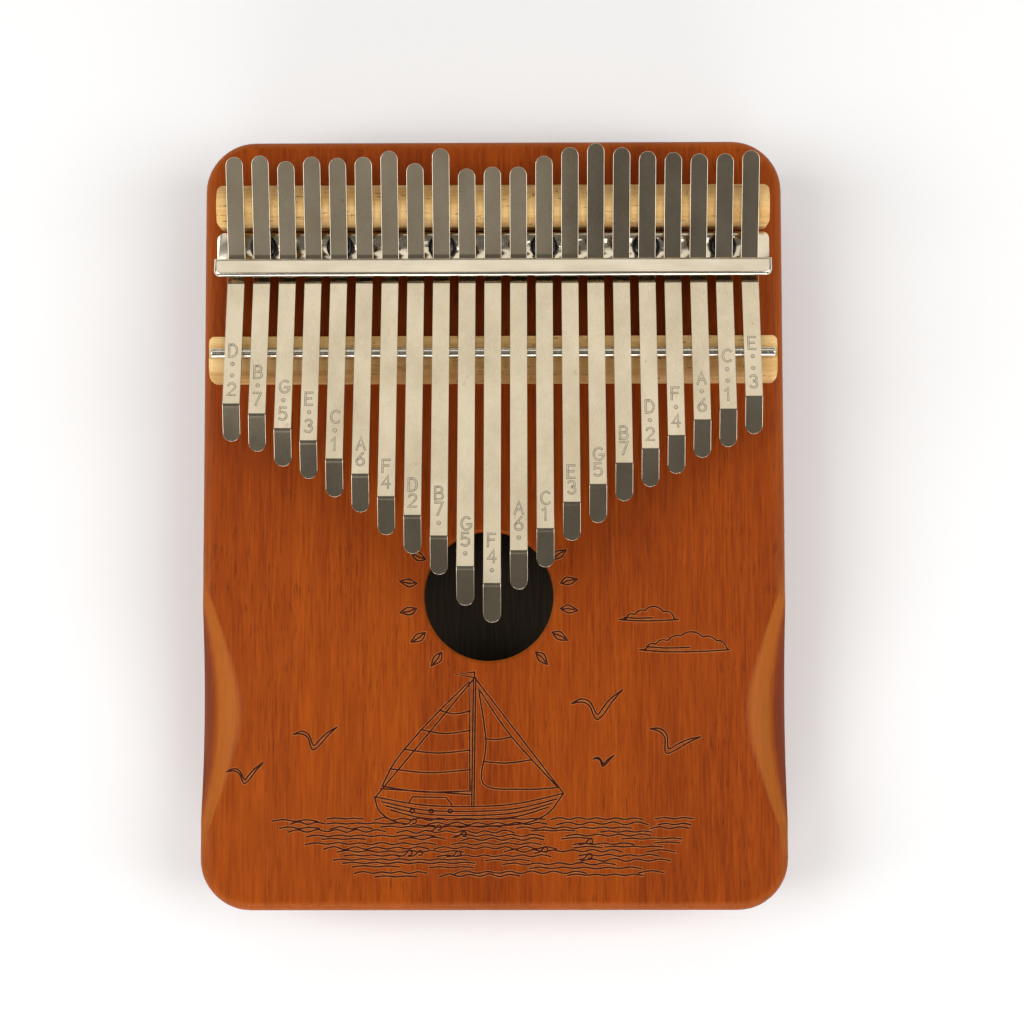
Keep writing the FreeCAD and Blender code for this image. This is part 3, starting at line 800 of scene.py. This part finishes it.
def gull(span, droop):
    """A gliding bird: two wings with a thin double line, meeting at a small body."""
    above = [
        (-0.5, 0.05), (-0.32, 0.14), (-0.14, 0.08), (0.0, -0.16),
        (0.12, -0.02), (0.28, 0.16), (0.5, 0.32),
    ]
    below = [
        (-0.5, 0.05), (-0.31, 0.08), (-0.15, 0.0), (-0.02, -0.26),
        (0.14, -0.14), (0.3, 0.09), (0.5, 0.32),
    ]
    lean = Matrix.Rotation(-droop, 2)
    return [[tuple(lean @ Vector((x, y)) * span) for x, y in line] for line in (above, below)]


def cloud(width, bumps):
    """A long flat cloud: the upper edge of a row of circles, closed by two thin base lines."""
    top = []
    for n in range(CLOUD_STEPS + 1):
        x = n / CLOUD_STEPS - 0.5
        heights = [math.sqrt(max(radius**2 - (x - middle) ** 2, 0)) for middle, radius in bumps]
        top.append((x * width, (max(heights) + 0.03 * math.cos(math.pi * x)) * width))
    base = [(-0.5, 0.0), (-0.2, -0.022), (0.2, -0.018), (0.5, 0.0)]
    inner = [(-0.42, 0.035), (-0.2, 0.02), (0.06, 0.028)]
    base = [(x * width, y * width) for x, y in base]
    inner = [(x * width, y * width) for x, y in inner]
    return [top, smooth_line(base, 5), smooth_line(inner, 4)]


def wave(length, height, crests, dice):
    """A low rolling line whose crests differ a little."""
    points = []
    for n in range(crests * 2 + 1):
        share = n / (crests * 2)
        swell = height * dice.uniform(0.5, 1.0) * (1 if n % 2 else -1)
        points.append(((share - 0.5) * length, swell))
    return smooth_line(points, 5)


def curl(size):
    """A small breaking crest beside the hull."""
    rise = smooth_line([(-1.6 * size, 0), (-0.7 * size, 0.15 * size), (-0.1 * size, 0.75 * size)], 4)
    return rise + arc_points(0.25 * size, 0.55 * size, 0.4 * size, 150, -120, steps=8)


def ray(length, width):
    """A slender curved leaf with a midrib, which points away from the sound hole."""
    upper = smooth_line([(0, 0), (0.4 * length, 0.62 * width), (length, 0.12 * width)], 6)
    lower = smooth_line([(length, 0.12 * width), (0.5 * length, -0.38 * width), (0, 0)], 6)
    rib = smooth_line([(0.15 * length, 0), (0.5 * length, 0.16 * width), (0.8 * length, 0.12 * width)], 4)
    return [upper[:-1] + lower, rib]


def sailing_boat():
    """A plain one-masted boat, one hull length long: hull with planks, cabin, mast, sails and rigging."""
    lines = []
    bow, stern = (0.5, 0.105), (-0.5, 0.085)
    lines.append(smooth_line([stern, (-0.46, -0.02), (-0.3, -0.085), (0.2, -0.09), (0.4, -0.03), bow], 6))
    lines.append(smooth_line([stern, (-0.2, 0.03), (0.2, 0.035), bow], 6))
    for drop in (0.03, 0.055, 0.08):
        ends = 0.49 - 0.9 * drop
        aft = [(-ends, 0.085 - drop), (-0.2, 0.03 - drop)]
        fore = [(0.2, 0.035 - drop), (ends, 0.10 - drop)]
        lines.append(smooth_line(aft + fore, 5))
    for place in (-0.3, -0.2, -0.1):
        lines.append(shifted(arc_points(0, 0, 0.012, 0, 360, steps=8), place, -0.002))
    cabin = [(-0.32, 0.045), (-0.3, 0.085), (-0.12, 0.08), (-0.09, 0.035)]
    lines.append(cabin)
    for side in (-0.006, 0.006):
        lines.append([(0.02 + side, 0.035), (0.03 + side, 0.815)])
    leech = smooth_line([(0.0, 0.79), (-0.2, 0.56), (-0.38, 0.32), (-0.46, 0.15)], 6)
    foot = smooth_line([(-0.46, 0.15), (-0.25, 0.115), (0.005, 0.12)], 6)
    lines.append(leech + foot[1:] + [(0.0, 0.79)])
    for height in (0.25, 0.37, 0.49, 0.61):
        reach = 0.46 - 0.83 * (height - 0.15) ** 1.3
        seam = [(0.006, height), (-0.5 * reach, height - 0.018), (-reach, height + 0.006)]
        lines.append(smooth_line(seam, 5))
    lines.append([(-0.47, 0.135), (0.01, 0.098)])
    genoa = smooth_line([(0.05, 0.75), (0.22, 0.46), (0.47, 0.14)], 7)
    belly = smooth_line([(0.47, 0.14), (0.28, 0.13), (0.075, 0.165), (0.09, 0.42), (0.05, 0.75)], 6)
    lines.append(genoa + belly[1:])
    lines.append(smooth_line([(0.08, 0.3), (0.2, 0.29), (0.33, 0.31)], 4))
    lines.append(smooth_line([(0.085, 0.44), (0.15, 0.435), (0.225, 0.45)], 4))
    lines.append([(0.03, 0.815), (0.5, 0.105)])
    lines.append([(0.02, 0.8), (-0.49, 0.09)])
    lines.append([(0.03, 0.815), (0.03, 0.85), (-0.07, 0.835), (0.03, 0.815)])
    return [[(x, y * RIG_SQUAT) for x, y in line] for line in lines]


def place_on_face(x, y):
    """A place on the face as shares of the box: from the middle across, and up from the foot."""
    low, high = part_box("body_shell")
    return x * (high.x - low.x), low.y + y * (high.y - low.y)


def sea_lines():
    """Broken rows of low swells under the boat, with a few small breaking crests."""
    dice = random.Random(7)
    found = []
    for n in range(SEA_ROWS):
        share = n / (SEA_ROWS - 1)
        wide = (SEA_WIDTH - SEA_NARROWING * share) * MM
        middle, y = place_on_face(-0.028 + 0.05 * share, 0.117 - 0.071 * share)
        left = -wide / 2 + dice.uniform(*ROW_INDENTS) * MM
        while left < wide / 2 - LEAST_SWELL * MM:
            length = min(dice.uniform(*SWELL_LENGTHS) * MM, wide / 2 - left)
            height = dice.uniform(*SWELL_HEIGHTS) * MM
            crests = max(round(length / (SWELL_SPACING * MM)), 1)
            line = wave(length, height, crests, dice)
            level = y + dice.uniform(*SWELL_SHIFTS) * MM
            found.append(shifted(line, middle + left + length / 2, level))
            left += length + dice.uniform(*SWELL_GAPS) * MM * (0.4 + share)
    for _ in range(CURL_COUNT):
        x, y = place_on_face(dice.uniform(-0.22, 0.18), dice.uniform(0.058, 0.112))
        found.append(shifted(curl(CURL_SIZE), x, y))
    return found


def picture_lines():
    """Every line of the picture, placed from the box's own edges and the sound hole."""
    hole_x, hole_y, hole_radius = SOUND_HOLE
    x, y = place_on_face(-0.042, 0.128)
    found = [shifted(line, x, y, HULL_LENGTH) for line in sailing_boat()]
    # each gull's place on the face, its span in mm and its droop
    gulls = [
        (-0.305, 0.220, 10.4, 0.10), (-0.423, 0.175, 8.8, 0.02), (0.176, 0.261, 12.4, 0.0),
        (0.302, 0.216, 12.0, 0.42), (0.186, 0.191, 5.0, 0.1),
    ]
    for across, along, span, droop in gulls:
        spot = place_on_face(across, along)
        found += [shifted(smooth_line(line, 5), *spot) for line in gull(span * MM, droop)]
    # each cloud's circles, as shares of its width; then its place on the face and its width in mm
    small = [(-0.3, 0.08), (-0.12, 0.13), (0.08, 0.19), (0.3, 0.12)]
    large = [(-0.36, 0.06), (-0.24, 0.09), (-0.08, 0.13), (0.08, 0.17), (0.26, 0.13), (0.38, 0.09)]
    clouds = [(0.265, 0.372, 14.5, small), (0.325, 0.333, 22.0, large)]
    for across, along, width, bumps in clouds:
        found += [shifted(line, *place_on_face(across, along)) for line in cloud(width * MM, bumps)]
    start = hole_radius + RAY_GAP
    for degrees in RAY_DIRECTIONS:
        away = math.radians(degrees)
        spot = (hole_x + start * math.cos(away), hole_y + start * math.sin(away))
        found += [shifted(line, *spot, 1.0, away) for line in ray(RAY_LENGTH, RAY_WIDTH)]
    return found + sea_lines()


def make_picture(frame, char, rim):
    """The burnt drawing on the face, each line with a paler rim under it."""
    face = Face(frame["nodes"]["body_shell"])
    strokes = Strokes()
    for n, line in enumerate(picture_lines()):
        # no two lines are in one plane where they cross
        lift = n * LEVEL_STEP
        strokes.add(line, RIM_WIDTH, lambda x, y: face.place(x, y, RIM_LEVEL + lift), slot=1)
        strokes.add(line, LINE_WIDTH, lambda x, y: face.place(x, y, LINE_LEVEL + lift), slot=0)
    made = piece_from("burnt_picture", strokes.vertices, strokes.faces, [char, rim], strokes.slots)
    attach(made, ROOT)


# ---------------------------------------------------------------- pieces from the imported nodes

CLAMP_SOFTENING = 0.18 * MM
SOFT_EDGE_STEPS = 2
WELD_DISTANCE = 0.002 * MM
FLAT_DEGREES = 1


def softened(frame, node, name, width, material):
    """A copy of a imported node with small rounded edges, which stands for the node."""
    source = frame["nodes"][node]
    mesh = source.data.copy()
    made = bpy.data.objects.new(name, mesh)
    bpy.context.scene.collection.objects.link(made)
    mesh.materials.clear()
    mesh.materials.append(material)
    work = bmesh.new()
    work.from_mesh(mesh)
    bmesh.ops.remove_doubles(work, verts=work.verts, dist=WELD_DISTANCE)
    flat = math.radians(FLAT_DEGREES)
    bmesh.ops.dissolve_limit(work, angle_limit=flat, verts=work.verts, edges=work.edges)
    for face in work.faces:
        face.smooth = True
        face.material_index = 0
    work.to_mesh(mesh)
    work.free()
    bevel = made.modifiers.new("soft edges", "BEVEL")
    bevel.width = width
    bevel.segments = SOFT_EDGE_STEPS
    bevel.limit_method = "ANGLE"
    bevel.angle_limit = math.radians(SHARP_DEGREES)
    bevel.harden_normals = True
    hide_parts(node)
    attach(made, ROOT)


def paint(frame, node, material):
    """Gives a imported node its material."""
    target = frame["nodes"][node]
    target.data.materials.clear()
    target.data.materials.append(material)


# ---------------------------------------------------------------- the studio

# The floor, in metres and degrees: flat out to its reach, then sweeping up round a circle.
FLOOR_REACH = 1.7
FLOOR_RINGS = 4
FLOOR_GAP = 0.05 * MM
SWEEP_RADIUS = 1.2
SWEEP_TURN = 60
SWEEP_STEP = 5
FLOOR_SIDES = 64

# The faint, warm light from all round.
ROUND_LIGHT = (1.0, 0.95, 0.87, 1)
ROUND_STRENGTH = 0.13

CAMERA_PLACE = (0.0086, -0.0325, 0.5280)
CAMERA_LEAN = (0.0698, 0.0083, -0.0018)
CAMERA_LENS = 71.0
CAMERA_SENSOR = 36.0


def make_floor(material):
    """A pale round floor that sweeps up at its edge, so that no horizon shows behind the object."""
    profile = [(FLOOR_REACH * n / FLOOR_RINGS, 0.0) for n in range(1, FLOOR_RINGS + 1)]
    for degrees in range(SWEEP_STEP, SWEEP_TURN + 1, SWEEP_STEP):
        turn = math.radians(degrees)
        radius = FLOOR_REACH + SWEEP_RADIUS * math.sin(turn)
        height = SWEEP_RADIUS * (1 - math.cos(turn))
        profile.append((radius, height))
    vertices = [(0, 0, 0)]
    for radius, height in profile:
        for side in range(FLOOR_SIDES):
            turn = 2 * math.pi * side / FLOOR_SIDES
            vertices.append((radius * math.cos(turn), radius * math.sin(turn), height))
    faces = [(0, 1 + side, 1 + (side + 1) % FLOOR_SIDES) for side in range(FLOOR_SIDES)]
    for ring in range(len(profile) - 1):
        inner = 1 + ring * FLOOR_SIDES
        outer = inner + FLOOR_SIDES
        for side in range(FLOOR_SIDES):
            beside = (side + 1) % FLOOR_SIDES
            faces.append((inner + side, outer + side, outer + beside, inner + beside))
    floor = piece_from("floor", vertices, faces, [material])
    floor.location.z = -FLOOR_GAP


def area_light(name, place, target, width, height, power, colour=(1, 1, 1)):
    """A lit panel that faces its target and isn't itself in the picture."""
    lamp = bpy.data.lights.new(name, "AREA")
    lamp.shape = "RECTANGLE"
    lamp.size = width
    lamp.size_y = height
    lamp.energy = power
    lamp.color = colour
    holder = bpy.data.objects.new(name, lamp)
    bpy.context.scene.collection.objects.link(holder)
    holder.location = place
    holder.rotation_euler = (Vector(target) - Vector(place)).to_track_quat("-Z", "Y").to_euler()
    holder.visible_camera = False


def make_studio():
    """White panels round the object, and a dim card over its left side."""
    scene = bpy.context.scene
    scene.view_settings.view_transform = "Standard"
    world = bpy.data.worlds.new("studio")
    scene.world = world
    world.use_nodes = True
    background = world.node_tree.nodes["Background"]
    background.inputs["Color"].default_value = ROUND_LIGHT
    background.inputs["Strength"].default_value = ROUND_STRENGTH
    area_light("head_panel", (0, 0.62, 0.80), (0, 0.05, 0), 1.3, 0.50, 1.75, (1.0, 0.97, 0.90))
    area_light("left_panel", (-0.70, -0.05, 0.78), (0, 0, 0), 0.55, 0.90, 5.9)
    area_light("right_panel", (0.66, -0.05, 0.80), (0, 0, 0), 0.55, 0.90, 5.3)
    area_light("foot_panel", (0, -0.98, 0.42), (0, 0, 0), 1.2, 0.26, 5.6)
    area_light("dim_card", (-0.33, -0.14, 0.80), (-0.33, -0.14, 0), 0.72, 0.14, 0.055, (1.0, 0.95, 0.86))


def make_camera():
    """Nearly straight down on the face, from a little to the foot of it."""
    camera = bpy.data.cameras.new("camera")
    camera.lens = CAMERA_LENS
    camera.sensor_width = CAMERA_SENSOR
    holder = bpy.data.objects.new("camera", camera)
    bpy.context.scene.collection.objects.link(holder)
    holder.location = CAMERA_PLACE
    holder.rotation_euler = CAMERA_LEAN
    bpy.context.scene.camera = holder


def main():
    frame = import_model()
    wood, pale = mahogany(), maple()
    steel, dark, light = tine_steel(), stamped_painted_shade(), stamped_painted_highlight()
    paint(frame, "body_shell", wood)
    paint(frame, "back_plate", mahogany("mahogany_stained_inside", INNER_FACE - 0.1 * MM))
    paint(frame, "rear_rest", pale)
    paint(frame, "front_bridge", pale)
    paint(frame, "bridge_rod", rod_steel())
    paint(frame, "clamp_screws", dark_screw())
    softened(frame, "clamp_bar", "clamp_bar_bent", CLAMP_SOFTENING, plated_bar())
    for number in range(1, TINE_COUNT + 1):
        make_tine(number, steel, dark, light)
    make_picture(frame, burnt_line(), line_rim())
    make_floor(pale_floor())
    make_studio()
    make_camera()


main()
